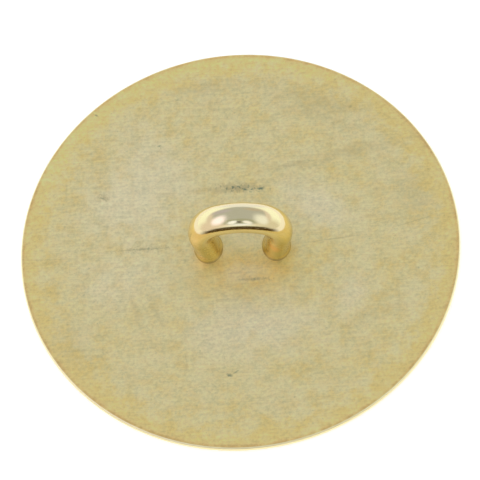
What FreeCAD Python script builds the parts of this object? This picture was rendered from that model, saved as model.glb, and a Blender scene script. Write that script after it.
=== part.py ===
import FreeCAD, Part
import math
import os

# A flat metal sew-on button with a wire shank on its back.
#
# All sizes are in millimetres. The button lies face down: the origin is the centre of the
# front face, +Z points from the front face to the shank, and the shank loop stands in the
# XZ plane, so that thread passes through it along Y.

# Disc: one round blank stamped from sheet, front edge rounded, back edge only deburred.
DISC_DIAMETER = 35.0
DISC_THICKNESS = 0.6
FRONT_EDGE_RADIUS = 0.25
BACK_EDGE_RADIUS = 0.12

# Shank: oval wire bent into a flattened arch, its two feet ground flat.
WIRE_WIDTH = 2.5        # along Y, across the loop
WIRE_DEPTH = 2.0        # in the plane of the loop
LOOP_WIDTH = 8.26       # outside, over the shoulders
LOOP_HEIGHT = 6.08      # outside, above the disc's back face
TOP_RADIUS = 4.6        # the wire's centre line over the top
SHOULDER_RADIUS = 2.3   # the wire's centre line round each shoulder
FOOT_TUCK = 10.0        # degrees that each leg leans in towards the other
LOOP_OFFSET = 0.22      # the loop is brazed on by hand, this far to +X of the disc's centre

# Solder: a slightly hollow ring that runs round each foot where it meets the disc.
SOLDER_HEIGHT = 0.4     # up the leg
SOLDER_REACH = 0.4      # out over the disc, from the leg
SOLDER_LIP = 0.05       # thickness of the ring at its upper edge
SOLDER_HOLLOW = 0.05    # how far its face is sunk below a straight slope

UP = FreeCAD.Vector(0, 0, 1)
ACROSS = FreeCAD.Vector(0, 1, 0)


def in_loop_plane(x, z):
    """A point of the loop's middle plane, x from the loop's axis and z above the disc."""
    return FreeCAD.Vector(LOOP_OFFSET + x, 0, DISC_THICKNESS + z)


def disc_blank():
    """The disc, turned from its half section."""
    radius = DISC_DIAMETER / 2
    slope = math.sqrt(0.5)

    def corner(edge_radius, z_centre, z_sign):
        centre_x = radius - edge_radius
        return (
            FreeCAD.Vector(centre_x, 0, z_centre + z_sign * edge_radius),
            FreeCAD.Vector(centre_x + slope * edge_radius, 0, z_centre + z_sign * slope * edge_radius),
            FreeCAD.Vector(radius, 0, z_centre),
        )

    front_flat, front_middle, front_side = corner(FRONT_EDGE_RADIUS, FRONT_EDGE_RADIUS, -1)
    back_flat, back_middle, back_side = corner(BACK_EDGE_RADIUS, DISC_THICKNESS - BACK_EDGE_RADIUS, 1)
    front_centre = FreeCAD.Vector(0, 0, 0)
    back_centre = FreeCAD.Vector(0, 0, DISC_THICKNESS)
    outline = Part.Wire([
        Part.LineSegment(front_centre, front_flat).toShape(),
        Part.Arc(front_flat, front_middle, front_side).toShape(),
        Part.LineSegment(front_side, back_side).toShape(),
        Part.Arc(back_side, back_middle, back_flat).toShape(),
        Part.LineSegment(back_flat, back_centre).toShape(),
        Part.LineSegment(back_centre, front_centre).toShape(),
    ])
    return Part.Face(outline).revolve(front_centre, UP, 360)


class LoopLine:
    """Centre line of the wire on its +X side: top arc, shoulder arc and straight leg."""

    half_width = (LOOP_WIDTH - WIRE_DEPTH) / 2
    crown = LOOP_HEIGHT - WIRE_DEPTH / 2
    top_centre = (0.0, crown - TOP_RADIUS)
    shoulder_x = half_width - SHOULDER_RADIUS
    centre_gap = TOP_RADIUS - SHOULDER_RADIUS
    shoulder_centre = (shoulder_x, top_centre[1] + math.sqrt(centre_gap ** 2 - shoulder_x ** 2))
    join_angle = math.degrees(math.atan2(shoulder_centre[1] - top_centre[1], shoulder_x))
    tuck = math.radians(FOOT_TUCK)
    leg_top = (
        shoulder_centre[0] + SHOULDER_RADIUS * math.cos(tuck),
        shoulder_centre[1] - SHOULDER_RADIUS * math.sin(tuck),
    )
    foot_x = leg_top[0] - leg_top[1] * math.tan(tuck)


def wire_section(centre, radius, angle):
    """The wire's oval face, on an arc about centre, at an angle up from +X."""
    turn = math.radians(angle)
    outward = FreeCAD.Vector(math.cos(turn), 0, math.sin(turn))
    middle = in_loop_plane(centre[0] + radius * math.cos(turn), centre[1] + radius * math.sin(turn))
    widest = middle + ACROSS * (WIRE_WIDTH / 2)
    deepest = middle + outward * (WIRE_DEPTH / 2)
    oval = Part.Ellipse(widest, deepest, middle)
    return Part.Face(Part.Wire(oval.toShape()))


def bent_wire(centre, radius, start_angle, end_angle):
    """One arc of the wire, turned about the arc's own centre."""
    section = wire_section(centre, radius, start_angle)
    return section.revolve(in_loop_plane(*centre), ACROSS, start_angle - end_angle)


def straight_leg():
    """The +X leg, run on past the disc's back face so that it can be ground flat."""
    section = wire_section(LoopLine.shoulder_centre, SHOULDER_RADIUS, -FOOT_TUCK)
    down = FreeCAD.Vector(-math.sin(LoopLine.tuck), 0, -math.cos(LoopLine.tuck))
    reach = LoopLine.leg_top[1] / math.cos(LoopLine.tuck) + WIRE_DEPTH
    return section.extrude(down * reach)


def mirrored(shape):
    """The same shape on the -X side of the loop's axis."""
    return shape.mirror(in_loop_plane(0, 0), FreeCAD.Vector(1, 0, 0))


def shank_loop():
    """The whole arch of wire, standing with flat feet on the disc's back face."""
    top = bent_wire(LoopLine.top_centre, TOP_RADIUS, 180 - LoopLine.join_angle, LoopLine.join_angle)
    shoulder = bent_wire(LoopLine.shoulder_centre, SHOULDER_RADIUS, LoopLine.join_angle, -FOOT_TUCK)
    leg = straight_leg()
    loop = top.fuse([shoulder, leg, mirrored(shoulder), mirrored(leg)]).removeSplitter()
    ground = Part.makeBox(
        DISC_DIAMETER, DISC_DIAMETER, DISC_DIAMETER,
        FreeCAD.Vector(-DISC_DIAMETER / 2, -DISC_DIAMETER / 2, DISC_THICKNESS - DISC_DIAMETER),
    )
    return loop.cut(ground)


def foot_outline(rise, reach):
    """The oval round the +X leg, at a height above the disc, standing off by reach."""
    middle = in_loop_plane(LoopLine.foot_x + rise * math.tan(LoopLine.tuck), rise)
    half_depth = WIRE_DEPTH / 2 / math.cos(LoopLine.tuck) + reach
    half_width = WIRE_WIDTH / 2 + reach
    oval = Part.Ellipse(
        middle + ACROSS * half_width,
        middle + FreeCAD.Vector(half_depth, 0, 0),
        middle,
    )
    return Part.Wire(oval.toShape())


def solder_ring(loop):
    """The ring of solder round the +X foot."""
    half_way = SOLDER_HEIGHT / 2
    half_reach = (SOLDER_REACH + SOLDER_LIP) / 2 - SOLDER_HOLLOW
    outlines = [
        foot_outline(0, SOLDER_REACH),
        foot_outline(half_way, half_reach),
        foot_outline(SOLDER_HEIGHT, SOLDER_LIP),
    ]
    mound = Part.makeLoft(outlines, True, False)
    return mound.cut(loop)


def main():
    loop = shank_loop()
    right_solder = solder_ring(loop)
    nodes = {
        "button_disc": disc_blank(),
        "shank_loop": loop,
        "solder_ring_right": right_solder,
        "solder_ring_left": mirrored(right_solder),
    }
    os.makedirs("parts", exist_ok=True)
    for name, shape in nodes.items():
        shape.exportStep("parts/" + name + ".step")
        box = shape.optimalBoundingBox()
        print(
            f"{name}: {len(shape.Solids)} solid, valid {shape.isValid()}, volume {shape.Volume:.3f},",
            f"x {box.XMin:.3f}..{box.XMax:.3f}, y {box.YMin:.3f}..{box.YMax:.3f},",
            f"z {box.ZMin:.3f}..{box.ZMax:.3f}",
        )


main()
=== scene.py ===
import math

import bpy
from bpy.props import FloatProperty, FloatVectorProperty, IntProperty, PointerProperty
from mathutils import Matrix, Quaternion, Vector


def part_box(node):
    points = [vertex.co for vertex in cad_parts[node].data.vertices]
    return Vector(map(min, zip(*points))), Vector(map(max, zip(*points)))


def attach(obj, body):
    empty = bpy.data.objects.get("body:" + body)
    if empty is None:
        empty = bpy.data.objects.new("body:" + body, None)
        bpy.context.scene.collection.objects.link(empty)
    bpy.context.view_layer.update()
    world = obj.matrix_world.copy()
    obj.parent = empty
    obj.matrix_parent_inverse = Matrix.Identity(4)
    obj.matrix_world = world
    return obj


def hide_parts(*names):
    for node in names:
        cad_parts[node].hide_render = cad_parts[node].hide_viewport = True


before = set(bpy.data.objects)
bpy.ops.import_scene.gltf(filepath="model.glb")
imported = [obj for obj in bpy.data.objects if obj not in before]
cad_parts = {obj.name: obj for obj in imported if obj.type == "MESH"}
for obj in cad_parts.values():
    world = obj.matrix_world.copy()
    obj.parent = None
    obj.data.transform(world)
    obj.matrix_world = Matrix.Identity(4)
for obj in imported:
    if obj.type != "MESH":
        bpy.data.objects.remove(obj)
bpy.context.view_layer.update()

bl_info = {
    "name": "Sew-on shank button",
    "version": (1, 0, 0),
    "blender": (4, 5, 0),
    "location": "3D View > Sidebar > Button",
    "description": "Makes a flat plated metal button with a soldered wire shank, and its studio",
    "category": "Object",
}

MM = 0.001
DISC_LOW, DISC_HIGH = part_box("button_disc")
LOOP_LOW, LOOP_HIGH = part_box("shank_loop")
SOLDER_LOW, SOLDER_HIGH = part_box("solder_ring_right")
DISC_TOP = DISC_HIGH.z
DISC_RADIUS = (DISC_HIGH.x - DISC_LOW.x) / 2
MERGE_DISTANCE = 0.0002 * MM
FLOOR_GAP = 0.01 * MM        # keeps the floor and what lies on it clear of the disc's front face


# --------------------------------------------------------------------------- settings


def length(name, description, millimetres):
    """A length that the user sets, kept in metres."""
    return FloatProperty(
        name=name, description=description, default=millimetres * MM,
        min=0.0, precision=5, unit="LENGTH",
    )


def angle(name, description, degrees):
    return FloatProperty(
        name=name, description=description, default=math.radians(degrees), unit="ROTATION",
    )


def colour(name, description, red, green, blue):
    """A plating or studio colour, as linear light."""
    return FloatVectorProperty(
        name=name, description=description, default=(red, green, blue),
        size=3, min=0.0, max=2.0, subtype="COLOR",
    )


class DiscSettings(bpy.types.PropertyGroup):
    """The flat round blank."""

    diameter: length("Diameter", "Across the disc", (DISC_HIGH.x - DISC_LOW.x) / MM)
    thickness: length("Thickness", "Of the sheet", (DISC_HIGH.z - DISC_LOW.z) / MM)
    front_edge: length("Front edge", "Radius of the rounded front edge", 0.25)
    back_edge: length("Back edge", "Radius of the deburred back edge", 0.12)
    facets: IntProperty(name="Facets", description="Sides of the rim", default=288, min=32)
    plate: colour("Plate", "Pale gold plating of the back", 1.0, 0.812, 0.375)
    green_plate: colour("Green plate", "Thin greenish plating", 0.91, 0.805, 0.38)
    # pale side: partly its plating, partly a painted reflection of the white floor
    edge_plate_and_reflection: colour("Edge plate", "Pale plating of the side", 1.0, 0.88, 0.47)
    front_plate: colour("Front plate", "Clean bright plating of the front", 1.0, 0.84, 0.47)
    rim_line: colour("Rim line", "Soft red-brown band inside the edge", 0.96, 0.65, 0.24)
    edge_line: colour("Edge line", "Thin brown line along the edge", 0.80, 0.50, 0.15)
    # halo colour: pale greyish plating in patches, and a painted reflection of the loop on the disc
    # just in front of it
    halo_and_loop_reflection: colour("Halo", "Pale greyish plating", 0.90, 0.86, 0.66)
    rub: colour("Rub", "Brown rubbed plating", 0.56, 0.44, 0.20)
    scratch: colour("Scratch", "Dirt in the long scratches", 0.30, 0.27, 0.14)
    warm_plate: colour("Warm plate", "Plating where it is thicker and redder", 1.0, 0.745, 0.25)
    stain: colour("Stain", "Flux burn and tarnish", 0.30, 0.26, 0.12)
    verdigris: colour("Verdigris", "Green-black specks left by the flux", 0.06, 0.15, 0.085)


class LoopSettings(bpy.types.PropertyGroup):
    """The wire shank."""

    wire_width: length("Wire width", "Across the loop, along Y", (LOOP_HIGH.y - LOOP_LOW.y) / MM)
    wire_depth: length("Wire depth", "In the plane of the loop", 2.0)
    outer_width: length("Width", "Outside, over the shoulders", (LOOP_HIGH.x - LOOP_LOW.x) / MM)
    outer_height: length("Height", "Outside, above the disc", (LOOP_HIGH.z - DISC_TOP) / MM)
    offset: length("Offset", "From the disc's centre, along X", (LOOP_HIGH.x + LOOP_LOW.x) / 2 / MM)
    top_radius: length("Top radius", "Of the wire's centre line over the top", 4.6)
    shoulder_radius: length("Shoulder radius", "Of the centre line round each shoulder", 2.3)
    foot_tuck: angle("Foot tuck", "How far each leg leans in", 10.0)
    wire_facets: IntProperty(
        name="Wire facets", description="Sides of the wire", default=64, min=12,
    )
    plate: colour("Plate", "Polished pale gold plating", 0.85, 0.715, 0.385)
    redder_plate: colour("Redder plate", "Plating where it is thicker", 0.83, 0.67, 0.33)
    # legs: partly rougher plating, and their darker colour is painted shade
    leg_plate_and_shade: colour("Leg plate", "Duller plating down the legs", 0.655, 0.525, 0.195)
    heat_tint: colour("Heat tint", "Plating tinted by soldering", 0.86, 0.52, 0.18)


class SolderSettings(bpy.types.PropertyGroup):
    """The ring of solder round each foot."""

    height: length("Height", "Up the leg", (SOLDER_HIGH.z - SOLDER_LOW.z) / MM)
    reach: length("Reach", "Out over the disc", 0.15)
    lip: length("Lip", "Thickness at the upper edge", 0.01)
    unevenness: length("Unevenness", "How far the solder wanders", 0.03)
    plate: colour("Plate", "Plated solder", 0.63, 0.50, 0.185)
    redder_plate: colour("Redder plate", "Plating where it is thicker", 0.72, 0.54, 0.20)
    # painted shadow: the solder darker where it meets the disc
    painted_crease_shadow: colour("Crease", "Dark line where it meets the disc", 0.46, 0.35, 0.14)


class StageSettings(bpy.types.PropertyGroup):
    """Floor, light and camera."""

    camera_turn: angle("Camera turn", "Round the button from -Y towards +X", 7.4)
    camera_height: angle("Camera height", "Above the horizon", 63.3)
    camera_roll: angle("Camera roll", "About the line of sight", 9.04)
    camera_distance: length("Camera distance", "From the centre of the disc's back", 320.0)
    focal_length: FloatProperty(
        name="Focal length", description="Of the camera, in millimetres", default=302.0, min=10.0,
    )
    wall: colour("Wall", "Light of the low walls", 1.15, 1.28, 1.36)
    upper_wall: colour("Upper wall", "Light of the upper walls", 0.84, 0.80, 0.90)
    lower_light: colour("Lower light", "Light from below, for the front", 0.66, 0.65, 0.66)
    floor: colour("Floor", "Colour of the floor", 0.94, 0.92, 0.88)


# --------------------------------------------------------------------------- mesh work


def start_piece(name):
    """Renames and returns the object that an add operator has just made."""
    piece = bpy.context.active_object
    piece.name = name
    piece.data.name = name
    return piece


def deselect_all():
    if bpy.context.mode != "OBJECT":
        bpy.ops.object.mode_set(mode="OBJECT")
    bpy.ops.object.select_all(action="DESELECT")


def edit(piece):
    """Puts only this piece in edit mode."""
    deselect_all()
    piece.select_set(True)
    bpy.context.view_layer.objects.active = piece
    bpy.ops.object.mode_set(mode="EDIT")
    bpy.ops.mesh.select_mode(type="VERT")


def select_where(piece, domain, test):
    """In edit mode, selects just the vertices, edges or faces that pass the test."""
    bpy.ops.mesh.select_mode(type={"vertices": "VERT", "edges": "EDGE", "polygons": "FACE"}[domain])
    bpy.ops.mesh.select_all(action="DESELECT")
    bpy.ops.object.mode_set(mode="OBJECT")
    for item in getattr(piece.data, domain):
        item.select = test(item)
    bpy.ops.object.mode_set(mode="EDIT")


def edge_middle(piece, edge):
    first, second = (piece.data.vertices[index].co for index in edge.vertices)
    return (first + second) / 2


def is_level(piece, edge):
    first, second = (piece.data.vertices[index].co for index in edge.vertices)
    return abs(first.z - second.z) < MERGE_DISTANCE


def apply_modifiers(piece):
    deselect_all()
    piece.select_set(True)
    bpy.context.view_layer.objects.active = piece
    for modifier in list(piece.modifiers):
        bpy.ops.object.modifier_apply(modifier=modifier.name)


def finish_mesh(piece, smooth_angle):
    """Merges doubles, turns the faces out, smooths, and moves the place into the mesh."""
    edit(piece)
    bpy.ops.mesh.select_all(action="SELECT")
    bpy.ops.mesh.remove_doubles(threshold=MERGE_DISTANCE)
    bpy.ops.mesh.normals_make_consistent(inside=False)
    bpy.ops.object.mode_set(mode="OBJECT")
    bpy.ops.object.transform_apply(location=True, rotation=True, scale=True)
    bpy.ops.object.shade_smooth_by_angle(angle=math.radians(smooth_angle))


def make_disc(disc):
    """A cylinder whose two rims are rounded, with a narrow flat border inside each."""
    deselect_all()
    bpy.ops.mesh.primitive_cylinder_add(
        vertices=disc.facets, radius=disc.diameter / 2, depth=disc.thickness,
        location=(0, 0, DISC_TOP - disc.thickness / 2),
    )
    piece = start_piece("disc_plate")
    bpy.ops.object.transform_apply(location=True)
    edit(piece)
    back_border, front_border, border_gap = 0.02 * MM, 0.02 * MM, 0.01 * MM
    for level, radius, segments, border in (
        (DISC_TOP, disc.back_edge, 5, back_border),
        (DISC_TOP - disc.thickness, disc.front_edge, 8, front_border),
    ):
        select_where(piece, "edges", lambda edge: (
            is_level(piece, edge) and abs(edge_middle(piece, edge).z - level) < MERGE_DISTANCE
        ))
        bpy.ops.mesh.bevel(
            offset_type="OFFSET", offset=radius, segments=segments, profile=0.5,
            affect="EDGES", clamp_overlap=False,
        )
        select_where(piece, "polygons", lambda face: (
            abs(face.center.z - level) < MERGE_DISTANCE and abs(face.normal.z) > 0.99
        ))
        bpy.ops.mesh.inset(thickness=border, depth=0.0)
        bpy.ops.mesh.inset(thickness=border_gap, depth=0.0)
    finish_mesh(piece, 60)
    return piece


def loop_line(loop):
    """Centres and angles of the wire's centre line, from the top down its +X side."""
    half_width = (loop.outer_width - loop.wire_depth) / 2
    crown = DISC_TOP + loop.outer_height - loop.wire_depth / 2
    top_centre = Vector((0, 0, crown - loop.top_radius))
    shoulder_x = half_width - loop.shoulder_radius
    centre_gap = loop.top_radius - loop.shoulder_radius
    rise = math.sqrt(centre_gap ** 2 - shoulder_x ** 2)
    shoulder_centre = top_centre + Vector((shoulder_x, 0, rise))
    join_angle = math.atan2(rise, shoulder_x)
    leg_top = shoulder_centre + loop.shoulder_radius * Vector(
        (math.cos(loop.foot_tuck), 0, -math.sin(loop.foot_tuck))
    )
    leg_way = Vector((-math.sin(loop.foot_tuck), 0, -math.cos(loop.foot_tuck)))
    foot = leg_top + leg_way * ((leg_top.z - DISC_TOP) / math.cos(loop.foot_tuck))
    return {
        "crown": crown, "top_centre": top_centre, "shoulder_centre": shoulder_centre,
        "join_angle": join_angle, "leg_top": leg_top, "leg_way": leg_way, "foot": foot,
    }


def make_loop(loop):
    """Half the arch is spun from one oval section, its leg drawn down, and then mirrored."""
    line = loop_line(loop)
    deselect_all()
    bpy.ops.mesh.primitive_circle_add(
        vertices=loop.wire_facets, radius=loop.wire_width / 2, fill_type="NOTHING",
        location=(0, 0, line["crown"]), rotation=(0, math.radians(90), 0),
    )
    piece = start_piece("wire_shank")
    bpy.ops.object.transform_apply(location=True, rotation=True)
    edit(piece)
    bpy.ops.mesh.select_all(action="SELECT")
    bpy.ops.transform.resize(
        value=(1, 1, loop.wire_depth / loop.wire_width), center_override=(0, 0, line["crown"]),
    )
    top_steps, shoulder_steps, leg_steps = 20, 36, 10
    for centre, turn, steps in (
        (line["top_centre"], math.pi / 2 - line["join_angle"], top_steps),
        (line["shoulder_centre"], line["join_angle"] + loop.foot_tuck, shoulder_steps),
    ):
        bpy.ops.mesh.spin(steps=steps, angle=turn, center=centre, axis=(0, -1, 0))
    leg_length = (line["foot"] - line["leg_top"]).length + loop.wire_depth / 2
    for _ in range(leg_steps):
        bpy.ops.mesh.extrude_region_move(
            TRANSFORM_OT_translate={"value": line["leg_way"] * (leg_length / leg_steps)},
        )
    bpy.ops.mesh.select_all(action="SELECT")
    bpy.ops.mesh.bisect(
        plane_co=(0, 0, DISC_TOP), plane_no=(0, 0, 1), use_fill=True,
        clear_inner=True, clear_outer=False, threshold=MERGE_DISTANCE,
    )
    bpy.ops.object.mode_set(mode="OBJECT")
    other_half = piece.modifiers.new("other_half", "MIRROR")
    other_half.use_axis = (True, False, False)
    other_half.merge_threshold = MERGE_DISTANCE
    other_half.use_clip = True
    apply_modifiers(piece)
    piece.location.x = loop.offset
    finish_mesh(piece, 50)
    return piece


def make_solder(solder, loop, side):
    """A ring of solder round one foot: side is 1 for +X and -1 for -X."""
    line = loop_line(loop)
    foot_x = loop.offset + side * line["foot"].x
    lean = side * math.tan(loop.foot_tuck)
    leg_half_depth = loop.wire_depth / 2 / math.cos(loop.foot_tuck)
    leg_half_width = loop.wire_width / 2
    rings, sunk, overrun, hollow = 7, 0.06 * MM, 1.15, 1.8
    deselect_all()
    bpy.ops.mesh.primitive_circle_add(
        vertices=72, radius=leg_half_width + solder.reach, fill_type="NOTHING",
        location=(foot_x, 0, DISC_TOP),
    )
    piece = start_piece("solder_right" if side > 0 else "solder_left")
    bpy.ops.object.transform_apply(location=True)
    edit(piece)
    bpy.ops.mesh.select_all(action="SELECT")
    outline = [leg_half_depth + solder.reach, leg_half_width + solder.reach]
    bpy.ops.transform.resize(
        value=(outline[0] / outline[1], 1, 1), center_override=(foot_x, 0, DISC_TOP),
    )
    rise = 0.0
    steps = []
    for ring in range(1, rings + 1):
        share = ring / rings
        slope = (solder.reach - solder.lip) * (1 - share) ** hollow
        steps.append((solder.height * share, solder.lip + slope))
    steps.append((solder.height * overrun, -sunk))
    steps.append((0.0, -sunk))
    for new_rise, reach in steps:
        grown = [leg_half_depth + reach, leg_half_width + reach]
        shift = Vector((lean * (new_rise - rise), 0, new_rise - rise))
        bpy.ops.mesh.extrude_region_move(TRANSFORM_OT_translate={"value": shift})
        bpy.ops.transform.resize(
            value=(grown[0] / outline[0], grown[1] / outline[1], 1),
            center_override=(foot_x + lean * new_rise, 0, DISC_TOP + new_rise),
        )
        outline, rise = grown, new_rise
    select_where(piece, "edges", lambda edge: (
        is_level(piece, edge) and abs(edge_middle(piece, edge).z - DISC_TOP) < MERGE_DISTANCE
    ))
    bpy.ops.mesh.bridge_edge_loops()
    bpy.ops.object.mode_set(mode="OBJECT")
    ripple = piece.modifiers.new("ripple", "DISPLACE")
    clouds = bpy.data.textures.new("solder_ripple", "CLOUDS")
    clouds.noise_scale = 1.6 * MM
    clouds.noise_depth = 0
    ripple.texture = clouds
    ripple.texture_coords = "LOCAL"
    ripple.strength = solder.unevenness
    ripple.mid_level = 0.75
    ripple.direction = "Z"
    apply_modifiers(piece)
    finish_mesh(piece, 60)
    return piece


# --------------------------------------------------------------------------- shader tools


class NodeSheet:
    """Adds nodes to one shader node tree and links them."""

    def __init__(self, tree):
        self.tree = tree

    def feed(self, socket, value):
        if isinstance(value, bpy.types.NodeSocket):
            self.tree.links.new(value, socket)
        elif isinstance(value, tuple) and len(value) == 3 and len(socket.default_value) == 4:
            socket.default_value = (*value, 1.0)
        else:
            socket.default_value = value

    def add(self, kind, inputs=None, **settings):
        node = self.tree.nodes.new(kind)
        for name, value in settings.items():
            setattr(node, name, value)
        for name, value in (inputs or {}).items():
            self.feed(node.inputs[name], value)
        return node

    def maths(self, operation, first, second=0.0, clamp=False):
        node = self.add(
            "ShaderNodeMath", {0: first, 1: second}, operation=operation, use_clamp=clamp,
        )
        return node.outputs["Value"]

    def times(self, first, second):
        return self.maths("MULTIPLY", first, second)

    def weighted_sum(self, start, *parts, clamp=False):
        """start plus each value times its weight."""
        total = start
        for value, weight in parts:
            total = self.maths("ADD", self.times(value, weight), total)
        if clamp:
            total.node.use_clamp = True
        return total

    def reach(self, first, second):
        """How far a point with these two coordinates is from zero."""
        squares = self.maths("ADD", self.times(first, first), self.times(second, second))
        return self.maths("SQRT", squares)

    def grey(self, value):
        node = self.add("ShaderNodeCombineColor", {"Red": value, "Green": value, "Blue": value})
        return node.outputs["Color"]

    def vector_maths(self, operation, first, second):
        node = self.add("ShaderNodeVectorMath", {0: first, 1: second}, operation=operation)
        return node.outputs["Vector"]

    def fade(self, value, low, high):
        """0 at low, 1 at high, and smooth between them; low may be the larger."""
        node = self.add(
            "ShaderNodeMapRange", {"Value": value, "From Min": low, "From Max": high},
            interpolation_type="SMOOTHSTEP", clamp=True,
        )
        return node.outputs["Result"]

    def noise(self, vector, scale, detail=2.0, roughness=0.5):
        node = self.add(
            "ShaderNodeTexNoise",
            {"Vector": vector, "Scale": scale, "Detail": detail, "Roughness": roughness},
        )
        return node.outputs["Fac"]

    def mix(self, factor, first, second, blend="MIX"):
        node = self.add("ShaderNodeMix", data_type="RGBA", blend_type=blend)
        sockets = {socket.identifier: socket for socket in node.inputs}
        self.feed(sockets["Factor_Float"], factor)
        self.feed(sockets["A_Color"], first)
        self.feed(sockets["B_Color"], second)
        return {socket.identifier: socket for socket in node.outputs}["Result_Color"]

    def group(self, name, inputs):
        node = self.add("ShaderNodeGroup", node_tree=bpy.data.node_groups[name])
        for key, value in inputs.items():
            self.feed(node.inputs[key], value)
        return node.outputs[0]


def new_group(name, inputs, output):
    """An empty shader group with named sockets: inputs are (name, kind, default)."""
    tree = bpy.data.node_groups.new(name, "ShaderNodeTree")
    for label, kind, default in inputs:
        socket = tree.interface.new_socket(name=label, in_out="INPUT", socket_type=kind)
        if default is not None:
            socket.default_value = default
    tree.interface.new_socket(name=output, in_out="OUTPUT", socket_type="NodeSocketFloat")
    sheet = NodeSheet(tree)
    return sheet, sheet.add("NodeGroupInput").outputs, sheet.add("NodeGroupOutput").inputs[0]


FLOAT, VECTOR = "NodeSocketFloat", "NodeSocketVector"


def make_tarnish_group():
    """Soft uneven patches, as in plating of varying thickness."""
    sheet, given, result = new_group("patchy_tarnish", (
        ("Vector", VECTOR, None), ("Patch Size", FLOAT, 3.0), ("Cover From", FLOAT, 0.45),
        ("Cover To", FLOAT, 0.65),
    ), "Mask")
    frequency = sheet.maths("DIVIDE", 1.0, given["Patch Size"])
    patches = sheet.noise(given["Vector"], frequency, detail=4.0, roughness=0.62)
    sheet.feed(result, sheet.fade(patches, given["Cover From"], given["Cover To"]))


def make_grain_group():
    """Fine mottled grain of rolled and plated metal."""
    sheet, given, result = new_group("fine_grain", (
        ("Vector", VECTOR, None), ("Grain Size", FLOAT, 0.3),
    ), "Value")
    frequency = sheet.maths("DIVIDE", 1.0, given["Grain Size"])
    sheet.feed(result, sheet.noise(given["Vector"], frequency, detail=3.0, roughness=0.7))


def make_brushing_group():
    """Short parallel brush lines at an angle in the plane of the face."""
    sheet, given, result = new_group("brush_lines", (
        ("Vector", VECTOR, None), ("Angle", FLOAT, 0.0), ("Line Length", FLOAT, 4.0),
        ("Line Width", FLOAT, 0.12),
    ), "Height")
    turned = sheet.add(
        "ShaderNodeVectorRotate", {"Vector": given["Vector"], "Angle": given["Angle"]},
        rotation_type="Z_AXIS",
    ).outputs["Vector"]
    size = sheet.add("ShaderNodeCombineXYZ", {
        "X": given["Line Length"], "Y": given["Line Width"], "Z": given["Line Length"],
    }).outputs["Vector"]
    stretched = sheet.vector_maths("DIVIDE", turned, size)
    sheet.feed(result, sheet.noise(stretched, 1.0, detail=3.0, roughness=0.6))


def make_mark_group():
    """One oval mark with a ragged edge: a stain, a rub, a speck, a long scratch, a pale patch, a
    heat tint or a painted reflection.
    """
    sheet, given, result = new_group("single_mark", (
        ("Vector", VECTOR, None), ("Centre", VECTOR, None), ("Mark Length", FLOAT, 1.0),
        ("Mark Width", FLOAT, 0.5), ("Angle", FLOAT, 0.0), ("Softness", FLOAT, 0.5),
        ("Raggedness", FLOAT, 0.5), ("Ragged Size", FLOAT, 0.4),
    ), "Mask")
    moved = sheet.vector_maths("SUBTRACT", given["Vector"], given["Centre"])
    turned = sheet.add(
        "ShaderNodeVectorRotate", {"Vector": moved, "Angle": sheet.times(given["Angle"], -1.0)},
        rotation_type="Z_AXIS",
    ).outputs["Vector"]
    split = sheet.add("ShaderNodeSeparateXYZ", {"Vector": turned}).outputs
    along = sheet.maths("DIVIDE", split["X"], sheet.times(given["Mark Length"], 0.5))
    across = sheet.maths("DIVIDE", split["Y"], sheet.times(given["Mark Width"], 0.5))
    frequency = sheet.maths("DIVIDE", 1.0, given["Ragged Size"])
    ripple = sheet.noise(given["Vector"], frequency, detail=3.0, roughness=0.65)
    wander = sheet.maths("SUBTRACT", ripple, 0.5)
    ragged = sheet.weighted_sum(sheet.reach(along, across), (wander, given["Raggedness"]))
    inner = sheet.maths("SUBTRACT", 1.0, given["Softness"])
    sheet.feed(result, sheet.fade(ragged, 1.0, inner))


def new_material(name):
    """A material with its shader, and its Object coordinates in millimetres."""
    material = bpy.data.materials.new(name)
    material.use_nodes = True
    sheet = NodeSheet(material.node_tree)
    shader = material.node_tree.nodes["Principled BSDF"]
    place = sheet.add("ShaderNodeTexCoord").outputs["Object"]
    millimetres = sheet.add(
        "ShaderNodeMapping", {"Vector": place, "Scale": (1 / MM, 1 / MM, 1 / MM)},
    ).outputs["Vector"]
    return material, sheet, shader, millimetres


def set_bump(sheet, shader, height, depth):
    """Height is 0 to 1, and depth its full range in metres."""
    bump = sheet.add("ShaderNodeBump", {"Height": height, "Distance": depth, "Strength": 1.0})
    sheet.feed(shader.inputs["Normal"], bump.outputs["Normal"])


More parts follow.
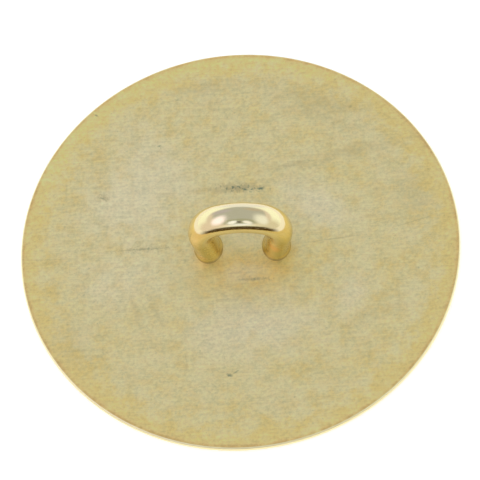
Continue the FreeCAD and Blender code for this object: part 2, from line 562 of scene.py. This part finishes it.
# x, y, length, width in millimetres, angle in degrees, softness, raggedness, ragged size, strength
PALE_HALOS_AND_LOOP_REFLECTION = (
    # this first patch, just in front of the loop, is a painted reflection of the loop
    (0.2, -2.3, 6.6, 2.8, 4, 1.0, 0.8, 1.2, 0.8),
    (-8.0, 5.0, 17.0, 12.0, 65, 1.0, 0.9, 2.6, 0.85),
    (-9.5, -2.5, 10.0, 7.0, 10, 1.0, 0.9, 2.0, 0.6),
    (1.0, -7.0, 16.0, 8.0, 8, 1.0, 0.8, 2.0, 0.85),
    (6.2, 3.4, 9.5, 5.5, -35, 1.0, 0.8, 1.6, 0.85),
    (8.8, -4.6, 7.0, 4.0, 40, 1.0, 0.8, 1.4, 0.55),
)
BROWN_RUBS = (
    (9.5, 8.2, 14.0, 2.0, 12, 1.2, 1.5, 1.1, 0.65),
    (6.5, 12.6, 13.0, 5.5, -22, 1.3, 1.6, 1.4, 0.65),
    (14.0, 4.0, 8.0, 5.0, -60, 1.3, 1.4, 1.3, 0.6),
    (-8.3, -5.2, 5.4, 0.9, -74, 1.2, 1.5, 0.5, 0.75),
    (-6.6, -5.6, 5.0, 0.8, -64, 1.2, 1.5, 0.5, 0.7),
    (-7.6, -2.6, 1.6, 1.1, -40, 1.2, 1.4, 0.4, 0.5),
    (10.3, -6.4, 7.0, 2.4, 24, 1.3, 1.6, 0.9, 0.45),
    (-13.5, -8.5, 9.0, 5.0, -60, 1.3, 1.5, 1.3, 0.5),
    (4.0, 7.1, 6.0, 0.9, 8, 1.2, 1.5, 0.7, 0.7),
    (-2.0, 14.6, 12.0, 2.6, 4, 1.3, 1.6, 1.0, 0.5),
)
FLUX_STAINS = (
    (-0.1, 5.3, 5.6, 1.25, 0, 1.0, 1.3, 0.35, 0.60),
    (-1.4, 5.15, 7.6, 0.8, 0, 1.0, 1.4, 0.4, 0.40),
    (1.1, -2.95, 3.4, 0.5, 0, 1.0, 1.9, 0.3, 0.40),
    (-7.6, 0.15, 6.0, 0.7, 2, 1.0, 1.9, 0.3, 0.32),
    (-10.8, 4.9, 1.1, 0.8, -25, 1.0, 1.6, 0.3, 0.45),
)
SPECKLED_STAINS = (
    (0.35, 5.2, 4.4, 0.95, -2, 0.6, 1.2, 0.3, 0.8),
    (-0.9, 5.4, 3.0, 0.8, 0, 0.8, 1.2, 0.3, 0.6),
    (-7.6, 0.15, 5.0, 0.45, 2, 0.9, 1.4, 0.3, 0.48),
    (-10.9, 4.9, 0.9, 0.6, -25, 0.9, 1.4, 0.3, 0.35),
    (-6.4, 9.3, 0.9, 1.0, 20, 0.9, 1.4, 0.3, 0.55),
    (1.1, -2.95, 3.2, 0.4, 0, 0.9, 1.6, 0.3, 0.45),
)
DARK_SPECKS = (
    (0.45, 5.1, 0.5, 0.24, -10, 0.9, 1.3, 0.15, 0.75),
    (1.75, 5.12, 0.75, 0.42, 6, 0.9, 1.3, 0.2, 0.85),
    (-0.95, -11.2, 0.62, 0.42, -20, 0.8, 1.0, 0.2, 0.72),
    (-0.45, -10.95, 0.8, 0.24, 35, 1.0, 1.0, 0.2, 0.5),
    (-11.5, 12.4, 0.5, 0.25, -30, 0.9, 1.0, 0.2, 0.6),
    (-6.4, 9.35, 0.4, 0.3, 20, 0.9, 1.2, 0.2, 0.5),
    (-11.0, 4.85, 0.5, 0.24, -25, 0.9, 1.2, 0.2, 0.38),
    (-4.9, 13.5, 0.7, 0.25, 0, 1.0, 1.0, 0.2, 0.3),
    (9.1, 12.2, 0.5, 0.3, 30, 1.0, 1.0, 0.2, 0.3),
)
HEAT_TINTS = (
    (2.85, 2.3, 1.5, 1.3, -60, 0.9, 0.5, 0.5, 0.75),
    (-3.1, 1.2, 1.8, 0.9, -20, 0.9, 0.6, 0.5, 0.45),
)
LONG_SCRATCHES = (
    (-8.3, 0.1, 8.5, 0.16, 1.5, 0.9, 0.7, 0.8, 0.36),
    (7.4, 0.35, 6.6, 0.18, 6.0, 0.9, 0.7, 0.8, 0.4),
    (13.8, 1.6, 5.2, 0.16, 16.0, 0.9, 0.8, 0.7, 0.35),
    (-14.5, -0.45, 6.0, 0.14, 0.0, 0.9, 0.8, 0.7, 0.3),
)


def laid_marks(sheet, vector, marks):
    """The strongest of a set of marks at each place."""
    total = None
    for x, y, mark_length, width, turn, softness, raggedness, ragged_size, strength in marks:
        mask = sheet.group("single_mark", {
            "Vector": vector, "Centre": (x, y, 0.0), "Mark Length": mark_length,
            "Mark Width": width, "Angle": math.radians(turn), "Softness": softness,
            "Raggedness": raggedness, "Ragged Size": ragged_size,
        })
        mask = sheet.times(mask, strength)
        total = mask if total is None else sheet.maths("MAXIMUM", total, mask)
    return total


def satin_plate(disc):
    """The disc: brushed, unevenly plated and stained behind, cleaner and smoother in front."""
    material, sheet, shader, place = new_material("satin_gold_plate")
    split = sheet.add("ShaderNodeSeparateXYZ", {"Vector": place}).outputs
    radius, back_level = disc.diameter / 2 / MM, DISC_TOP / MM
    from_centre = sheet.reach(split["X"], split["Y"])
    back = sheet.fade(split["Z"], back_level - 0.2, back_level - 0.05)
    flat_place = sheet.vector_maths("MULTIPLY", place, (1.0, 1.0, 0.0))

    # uneven plating, grain and brushing
    patches = sheet.group("patchy_tarnish", {
        "Vector": flat_place, "Patch Size": 4.2, "Cover From": 0.40, "Cover To": 0.68,
    })
    mottle = sheet.group("patchy_tarnish", {
        "Vector": flat_place, "Patch Size": 1.3, "Cover From": 0.36, "Cover To": 0.66,
    })
    hue = sheet.group("patchy_tarnish", {
        "Vector": flat_place, "Patch Size": 0.9, "Cover From": 0.36, "Cover To": 0.64,
    })
    grain = sheet.group("fine_grain", {"Vector": flat_place, "Grain Size": 0.30})
    level_lines = sheet.group("brush_lines", {
        "Vector": flat_place, "Angle": 0.0, "Line Length": 3.4, "Line Width": 0.16,
    })
    slant_lines = sheet.group("brush_lines", {
        "Vector": flat_place, "Angle": math.radians(-18), "Line Length": 2.6, "Line Width": 0.22,
    })

    # marks laid on the back; the first halo is a painted reflection of the loop
    halos_and_loop_reflection = laid_marks(sheet, flat_place, PALE_HALOS_AND_LOOP_REFLECTION)
    rubs = laid_marks(sheet, flat_place, BROWN_RUBS)
    stains = laid_marks(sheet, flat_place, FLUX_STAINS)
    scratches = laid_marks(sheet, flat_place, LONG_SCRATCHES)
    dots = sheet.fade(sheet.noise(flat_place, 4.6, detail=2.0, roughness=0.7), 0.52, 0.66)
    specks = sheet.times(laid_marks(sheet, flat_place, SPECKLED_STAINS), dots)
    specks = sheet.maths("MAXIMUM", specks, laid_marks(sheet, flat_place, DARK_SPECKS))
    pin_holes = sheet.noise(flat_place, 2.6, detail=1.0, roughness=0.5)
    pin_holes = sheet.times(sheet.fade(pin_holes, 0.70, 0.78), sheet.fade(patches, 0.8, 0.2))
    specks = sheet.maths("MAXIMUM", specks, sheet.times(pin_holes, 0.16))

    # bands along the rim, the widest with a wavy inner edge
    wavy = sheet.weighted_sum(from_centre, (sheet.maths("SUBTRACT", mottle, 0.5), 0.9))
    rim = sheet.fade(wavy, radius - 3.2, radius + 0.1)
    rim_line = sheet.weighted_sum(0.0, (patches, 0.5), (mottle, 0.6), clamp=True)
    rim_line = sheet.times(sheet.fade(from_centre, radius - 0.60, radius - 0.14), rim_line)
    edge_line = sheet.weighted_sum(0.12, (mottle, 0.50))
    edge_line = sheet.times(sheet.fade(from_centre, radius - 0.36, radius - 0.20), edge_line)
    side = sheet.fade(from_centre, radius - 0.14, radius - 0.08)
    # painted light: the rim made a little brighter towards the far left (+Y and -X)
    far_left_painted_light = sheet.weighted_sum(split["Y"], (split["X"], -0.5))
    far_left_painted_light = sheet.times(sheet.fade(far_left_painted_light, radius * 0.3, radius * 1.05), rim)

    # colour of the back
    warmth = sheet.weighted_sum(
        -0.30, (patches, 0.55), (rim, 0.95), (mottle, 0.30), (grain, 0.6), (halos_and_loop_reflection, -0.45),
        clamp=True,
    )
    # shade is grain and brush tone, plus painted light: a little brighter along the rim, most at
    # its far left
    shade = sheet.weighted_sum(
        0.548, (grain, 0.54), (level_lines, 0.22), (slant_lines, 0.14), (mottle, -0.07),
        (rim, 0.05), (far_left_painted_light, 0.08),
    )
    body = sheet.mix(warmth, tuple(disc.plate), tuple(disc.warm_plate))
    greener = sheet.times(hue, sheet.weighted_sum(0.5, (rim, -0.35)))
    body = sheet.mix(greener, body, tuple(disc.green_plate))
    body = sheet.mix(rim_line, body, tuple(disc.rim_line))
    body = sheet.mix(edge_line, body, tuple(disc.edge_line))
    body = sheet.mix(sheet.times(halos_and_loop_reflection, 0.30), body, tuple(disc.halo_and_loop_reflection))
    body = sheet.mix(1.0, body, sheet.grey(shade), blend="MULTIPLY")
    body = sheet.mix(sheet.times(rubs, 0.42), body, tuple(disc.rub))
    body = sheet.mix(stains, body, tuple(disc.stain))
    body = sheet.mix(sheet.times(scratches, 0.55), body, tuple(disc.scratch))
    body = sheet.mix(specks, body, tuple(disc.verdigris))

    # colour of the front and of the side; the side's pale colour is partly its plating, partly a
    # painted reflection of the white floor
    front = sheet.mix(sheet.times(patches, 0.35), tuple(disc.front_plate), tuple(disc.warm_plate))
    front_shade = sheet.weighted_sum(0.90, (grain, 0.10))
    front = sheet.mix(1.0, front, sheet.grey(front_shade), blend="MULTIPLY")
    faces = sheet.mix(back, front, body)
    sheet.feed(shader.inputs["Base Color"], sheet.mix(side, faces, tuple(disc.edge_plate_and_reflection)))

    back_rough = sheet.weighted_sum(0.35, (halos_and_loop_reflection, 0.10), (grain, 0.12), (stains, 0.25))
    front_rough = sheet.weighted_sum(0.20, (mottle, 0.05))
    in_front = sheet.maths("SUBTRACT", 1.0, back)
    rough = sheet.weighted_sum(0.0, (back_rough, back), (front_rough, in_front))
    sheet.feed(shader.inputs["Roughness"], rough)
    dull = sheet.times(sheet.maths("MAXIMUM", specks, stains), sheet.times(back, 0.8))
    sheet.feed(shader.inputs["Metallic"], sheet.maths("SUBTRACT", 1.0, dull, clamp=True))

    height = sheet.weighted_sum(
        0.0, (grain, 0.30), (level_lines, 0.40), (slant_lines, 0.30), (scratches, -0.8),
        (stains, 0.6),
    )
    set_bump(sheet, shader, sheet.times(height, sheet.weighted_sum(0.03, (back, 0.97))), 0.012 * MM)
    return material


def polished_plate(loop):
    """The shank: bright plating over polished wire, with faint hairlines and duller legs whose
    darker colour is painted shade.
    """
    material, sheet, shader, place = new_material("polished_gold_plate")
    grain = sheet.group("fine_grain", {"Vector": place, "Grain Size": 0.5})
    tone = sheet.group("patchy_tarnish", {
        "Vector": place, "Patch Size": 1.6, "Cover From": 0.42, "Cover To": 0.7,
    })
    hairlines = sheet.group("brush_lines", {
        "Vector": place, "Angle": math.radians(12), "Line Length": 1.8, "Line Width": 0.08,
    })
    rise = sheet.add("ShaderNodeSeparateXYZ", {"Vector": place}).outputs["Z"]
    leg_top = loop_line(loop)["shoulder_centre"].z / MM
    wavy_rise = sheet.weighted_sum(rise, (sheet.maths("SUBTRACT", tone, 0.5), 0.8))
    down_leg = sheet.fade(wavy_rise, leg_top + 1.3, leg_top - 0.9)
    face_on = sheet.add(
        "ShaderNodeVectorRotate",
        {"Vector": place, "Axis": (1, 0, 0), "Angle": math.radians(-90)},
        rotation_type="AXIS_ANGLE",
    ).outputs["Vector"]
    face_on = sheet.vector_maths("MULTIPLY", face_on, (1.0, 1.0, 0.0))

    body = sheet.mix(sheet.times(tone, 0.35), tuple(loop.plate), tuple(loop.redder_plate))
    # painted shade: the legs darker down towards the disc
    body = sheet.mix(down_leg, body, tuple(loop.leg_plate_and_shade))
    body = sheet.mix(laid_marks(sheet, face_on, HEAT_TINTS), body, tuple(loop.heat_tint))
    shade = sheet.weighted_sum(0.95, (hairlines, 0.08))
    body = sheet.mix(1.0, body, sheet.grey(shade), blend="MULTIPLY")
    sheet.feed(shader.inputs["Base Color"], body)
    rough = sheet.weighted_sum(0.09, (tone, 0.05), (grain, 0.04), (down_leg, 0.16))
    sheet.feed(shader.inputs["Roughness"], rough)
    height = sheet.weighted_sum(0.0, (hairlines, 0.25), (grain, 0.75))
    set_bump(sheet, shader, height, 0.004 * MM)
    shader.inputs["Metallic"].default_value = 1.0
    return material


def solder_plate(solder):
    """The solder: plated over, duller and a little lumpy, with a painted contact shadow darkening
    it where it meets the disc.
    """
    material, sheet, shader, place = new_material("plated_solder")
    grain = sheet.group("fine_grain", {"Vector": place, "Grain Size": 0.16})
    tone = sheet.group("patchy_tarnish", {
        "Vector": place, "Patch Size": 0.7, "Cover From": 0.42, "Cover To": 0.66,
    })
    rise = sheet.add("ShaderNodeSeparateXYZ", {"Vector": place}).outputs["Z"]
    top, bottom = DISC_TOP + solder.height * 0.7, DISC_TOP - solder.height * 0.1
    # painted shadow: darker towards the foot, where the solder meets the disc
    low = sheet.fade(rise, top / MM, bottom / MM)
    body = sheet.mix(sheet.times(tone, 0.5), tuple(solder.plate), tuple(solder.redder_plate))
    sheet.feed(shader.inputs["Base Color"], sheet.mix(low, body, tuple(solder.painted_crease_shadow)))
    rough = sheet.weighted_sum(0.26, (tone, 0.14), (grain, 0.10), (low, 0.16))
    sheet.feed(shader.inputs["Roughness"], rough)
    set_bump(sheet, shader, grain, 0.006 * MM)
    shader.inputs["Metallic"].default_value = 1.0
    return material


# --------------------------------------------------------------------------- studio


def see_through(sheet, solid, mask):
    """Shows the solid shader where mask is 0, and nothing where it is 1."""
    blend = sheet.add("ShaderNodeMixShader", {"Fac": mask})
    sheet.feed(blend.inputs[1], solid)
    sheet.feed(blend.inputs[2], sheet.add("ShaderNodeBsdfTransparent").outputs["BSDF"])
    output = sheet.tree.nodes["Material Output"]
    sheet.feed(output.inputs["Surface"], blend.outputs["Shader"])


def distance_from_middle(sheet):
    """Object coordinates, and how far they are from the object's origin, in metres."""
    place = sheet.add("ShaderNodeTexCoord").outputs["Object"]
    reach = sheet.add("ShaderNodeVectorMath", {0: place}, operation="LENGTH").outputs["Value"]
    return place, reach


def make_floor(stage):
    """A pale floor, see-through from below and under the disc, so that light and the eye reach
    the front face.
    """
    deselect_all()
    bpy.ops.mesh.primitive_plane_add(size=3.0, location=(0, 0, -FLOOR_GAP))
    floor = start_piece("pale_floor")
    material = bpy.data.materials.new("pale_floor")
    material.use_nodes = True
    sheet = NodeSheet(material.node_tree)
    shader = sheet.tree.nodes["Principled BSDF"]
    shader.inputs["Base Color"].default_value = (*stage.floor, 1.0)
    shader.inputs["Roughness"].default_value = 0.9
    shader.inputs["Specular IOR Level"].default_value = 0.1
    shader.inputs["Emission Color"].default_value = (1.0, 1.0, 1.0, 1.0)
    shader.inputs["Emission Strength"].default_value = 0.35
    reach = distance_from_middle(sheet)[1]
    below = sheet.add("ShaderNodeNewGeometry").outputs["Backfacing"]
    under_disc = sheet.fade(reach, DISC_RADIUS - 0.2 * MM, DISC_RADIUS - 0.3 * MM)
    see_through(sheet, shader.outputs["BSDF"], sheet.maths("MAXIMUM", below, under_disc))
    floor.data.materials.append(material)


def direction(turn, height):
    """The unit vector from the button: turn is degrees from +Y towards +X."""
    turn, height = math.radians(turn), math.radians(height)
    return Vector((
        math.sin(turn) * math.cos(height), math.cos(turn) * math.cos(height), math.sin(height),
    ))


# turn, height, roll, half width and half height in degrees, softness, light
SOFT_PATCHES = (
    (-126, 20, 0, 34, 26, 0.9, (0.88, 0.82, 0.90)),      # the left wall, duller towards the front
    (128, 16, 0, 38, 28, 0.9, (0.80, 0.80, 0.80)),       # the right wall, duller towards the front
    (2, 8, 0, 22, 20, 0.7, (0.98, 1.06, 1.40)),          # a duller stretch of the far wall
    (0, 74, 0, 42, 50, 0.16, (0.53, 0.585, 0.72)),       # the grey ceiling
    (-35, 42, 0, 13, 11, 1.0, (0.57, 0.58, 0.84)),       # a bluish patch of it
    (22, 40, 0, 12, 9, 1.0, (0.59, 0.57, 0.62)),         # a warmer patch of it
    (180, 54, 0, 26, 20, 0.5, (0.43, 0.48, 0.47)),       # the ceiling's darker front end
    (-112, 53, 32, 25, 11, 1.0, (1.36, 1.34, 2.00)),     # the large lamp on the left
    (112, 50, -30, 29, 13, 1.0, (1.02, 1.12, 1.38)),     # the large lamp on the right
    (180, 32, 0, 15, 8, 0.7, (1.00, 1.12, 1.60)),        # a low pale screen in front
    (-163, 50, 0, 6, 12, 0.7, (1.20, 1.34, 1.90)),       # a small lamp to the left of the lens
    (164, 48, 0, 6, 12, 0.7, (1.10, 1.20, 1.60)),        # a small lamp to the right of it
    (-178, 52, 0, 3.5, 7, 0.7, (0.16, 0.16, 0.18)),      # the lens
    (180, -2, 0, 38, 20, 0.5, (0.09, 0.065, 0.03)),      # the dark end of the room below
)


def soft_patch(sheet, way, turn, height, roll, half_width, half_height, softness):
    """1 inside an oval patch of the dome, 0 outside it, with a soft edge."""
    centre = tuple(direction(turn, height))
    moved = sheet.vector_maths("SUBTRACT", way, centre)
    rolled = sheet.add(
        "ShaderNodeVectorRotate", {"Vector": moved, "Axis": centre, "Angle": math.radians(roll)},
        rotation_type="AXIS_ANGLE",
    ).outputs["Vector"]
    turned = sheet.add(
        "ShaderNodeVectorRotate",
        {"Vector": rolled, "Rotation": (math.radians(height), 0, math.radians(-turn))},
        rotation_type="EULER_XYZ", invert=True,
    ).outputs["Vector"]
    depth = 1.6        # along the line to its middle, in dome radiuses
    size = (math.sin(math.radians(half_width)), depth, math.sin(math.radians(half_height)))
    scaled = sheet.vector_maths("DIVIDE", turned, size)
    reach = sheet.add("ShaderNodeVectorMath", {0: scaled}, operation="LENGTH").outputs["Value"]
    return sheet.fade(reach, 1.0 + softness / 2, 1.0 - softness / 2)


def make_dome(stage):
    """Bright low walls, duller upper walls, a grey ceiling, lamps, and a dark end in front."""
    world = bpy.data.worlds.new("studio_dome")
    bpy.context.scene.world = world
    world.use_nodes = True
    sheet = NodeSheet(world.node_tree)
    way = sheet.add("ShaderNodeTexCoord").outputs["Generated"]
    rise = sheet.add("ShaderNodeSeparateXYZ", {"Vector": way}).outputs["Z"]
    low, high = math.sin(math.radians(24)), math.sin(math.radians(34))
    light = sheet.mix(sheet.fade(rise, low, high), tuple(stage.wall), tuple(stage.upper_wall))
    below = sheet.fade(rise, math.sin(math.radians(-17.5)), math.sin(math.radians(-64.2)))
    light = sheet.mix(below, light, tuple(stage.lower_light))
    for *shape, patch_light in SOFT_PATCHES:
        light = sheet.mix(soft_patch(sheet, way, *shape), light, patch_light)
    seen = sheet.add("ShaderNodeLightPath").outputs["Is Camera Ray"]
    background = world.node_tree.nodes["Background"]
    sheet.feed(background.inputs["Color"], sheet.mix(seen, light, (1.0, 1.0, 1.0)))


def hide_from_all_but_gloss(card):
    card.visible_camera = False
    card.visible_diffuse = False
    card.visible_transmission = False
    card.visible_volume_scatter = False
    card.visible_shadow = False


def make_dark_mat():
    """A dark mat on the floor beyond the disc's near edge, which only mirror-like surfaces see."""
    material = bpy.data.materials.new("dark_mat")
    material.use_nodes = True
    sheet = NodeSheet(material.node_tree)
    sheet.tree.nodes.remove(sheet.tree.nodes["Principled BSDF"])
    place, reach = distance_from_middle(sheet)
    split = sheet.add("ShaderNodeSeparateXYZ", {"Vector": place}).outputs
    turn = sheet.maths("ARCTAN2", split["X"], sheet.times(split["Y"], -1.0))
    fan = sheet.fade(sheet.maths("ABSOLUTE", turn), math.radians(66), math.radians(32))
    beyond = sheet.fade(reach, DISC_RADIUS + 1.0 * MM, DISC_RADIUS + 1.6 * MM)
    dark = sheet.add("ShaderNodeEmission", {"Color": (0.09, 0.055, 0.015)}).outputs["Emission"]
    see_through(sheet, dark, sheet.weighted_sum(1.0, (sheet.times(fan, beyond), -1.0)))
    deselect_all()
    bpy.ops.mesh.primitive_plane_add(size=1.2, location=(0, 0, FLOOR_GAP))
    mat = start_piece("dark_mat")
    mat.data.materials.append(material)
    hide_from_all_but_gloss(mat)


def make_camera(stage):
    """Looks down on the back of the button, which lies face down."""
    height, turn = stage.camera_height, stage.camera_turn
    back = Vector((
        math.sin(turn) * math.cos(height), -math.cos(turn) * math.cos(height), math.sin(height),
    ))
    deselect_all()
    bpy.ops.object.camera_add(location=back * stage.camera_distance + Vector((0, 0, DISC_TOP)))
    camera = bpy.context.active_object
    camera.name = "camera"
    camera.rotation_mode = "QUATERNION"
    level = (-back).to_track_quat("-Z", "Y")
    camera.rotation_quaternion = Quaternion(back, -stage.camera_roll) @ level
    camera.data.sensor_width = 36.0
    camera.data.lens = stage.focal_length
    camera.data.shift_x = 0.0003
    camera.data.shift_y = 0.0138
    camera.data.clip_start = 0.001
    camera.data.dof.use_dof = False
    bpy.context.scene.camera = camera


# --------------------------------------------------------------------------- operators


def settings():
    scene = bpy.context.scene
    return scene.button_disc, scene.button_loop, scene.button_solder, scene.button_stage


def keep(piece, material, node):
    """Gives a finished piece its material and its place in the frame."""
    if not piece.data.polygons:
        raise RuntimeError(f"{piece.name} came out with no faces")
    piece.data.materials.clear()
    piece.data.materials.append(material)
    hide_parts(node)
    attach(piece, "root")


class BUTTON_OT_shader_groups(bpy.types.Operator):
    """Make the shared grain, brushing, tarnish and mark groups"""

    bl_idname = "shank_button.shader_groups"
    bl_label = "Make Shader Groups"

    def execute(self, context):
        make_tarnish_group()
        make_grain_group()
        make_brushing_group()
        make_mark_group()
        return {"FINISHED"}


class BUTTON_OT_disc(bpy.types.Operator):
    """Make the flat round blank with its brushed and stained back"""

    bl_idname = "shank_button.disc"
    bl_label = "Make Disc"

    def execute(self, context):
        disc = settings()[0]
        keep(make_disc(disc), satin_plate(disc), "button_disc")
        return {"FINISHED"}


class BUTTON_OT_loop(bpy.types.Operator):
    """Make the polished wire shank"""

    bl_idname = "shank_button.loop"
    bl_label = "Make Shank Loop"

    def execute(self, context):
        loop = settings()[1]
        keep(make_loop(loop), polished_plate(loop), "shank_loop")
        return {"FINISHED"}


class BUTTON_OT_solder(bpy.types.Operator):
    """Make the ring of solder round each foot"""

    bl_idname = "shank_button.solder"
    bl_label = "Make Solder Rings"

    def execute(self, context):
        _, loop, solder, _ = settings()
        material = solder_plate(solder)
        for side, node in ((1, "solder_ring_right"), (-1, "solder_ring_left")):
            keep(make_solder(solder, loop, side), material, node)
        return {"FINISHED"}


class BUTTON_OT_stage(bpy.types.Operator):
    """Make the floor, the light and the camera"""

    bl_idname = "shank_button.stage"
    bl_label = "Set Stage"

    def execute(self, context):
        stage = settings()[3]
        make_floor(stage)
        make_dome(stage)
        make_dark_mat()
        make_camera(stage)
        context.scene.view_settings.view_transform = "Standard"
        return {"FINISHED"}


class BUTTON_PT_panel(bpy.types.Panel):
    """Settings and steps of the button, in the order in which they run"""

    bl_idname = "BUTTON_PT_panel"
    bl_label = "Sew-on Button"
    bl_space_type = "VIEW_3D"
    bl_region_type = "UI"
    bl_category = "Button"

    def draw(self, context):
        scene = context.scene
        for title, group, operator in (
            ("Shader groups", None, "shank_button.shader_groups"),
            ("Disc", scene.button_disc, "shank_button.disc"),
            ("Shank loop", scene.button_loop, "shank_button.loop"),
            ("Solder", scene.button_solder, "shank_button.solder"),
            ("Stage", scene.button_stage, "shank_button.stage"),
        ):
            box = self.layout.box()
            box.label(text=title)
            if group is not None:
                for name in group.bl_rna.properties.keys():
                    if name not in ("rna_type", "name"):
                        box.prop(group, name)
            box.operator(operator)


SETTINGS = (
    ("button_disc", DiscSettings),
    ("button_loop", LoopSettings),
    ("button_solder", SolderSettings),
    ("button_stage", StageSettings),
)
OPERATORS = (
    BUTTON_OT_shader_groups, BUTTON_OT_disc, BUTTON_OT_loop, BUTTON_OT_solder, BUTTON_OT_stage,
)


def register():
    for name, group in SETTINGS:
        bpy.utils.register_class(group)
        setattr(bpy.types.Scene, name, PointerProperty(type=group))
    for operator in OPERATORS:
        bpy.utils.register_class(operator)
    bpy.utils.register_class(BUTTON_PT_panel)


def unregister():
    bpy.utils.unregister_class(BUTTON_PT_panel)
    for operator in reversed(OPERATORS):
        bpy.utils.unregister_class(operator)
    for name, group in reversed(SETTINGS):
        delattr(bpy.types.Scene, name)
        bpy.utils.unregister_class(group)


def main():
    register()
    bpy.ops.shank_button.shader_groups()
    bpy.ops.shank_button.disc()
    bpy.ops.shank_button.loop()
    bpy.ops.shank_button.solder()
    bpy.ops.shank_button.stage()


if __name__ == "__main__":
    main()
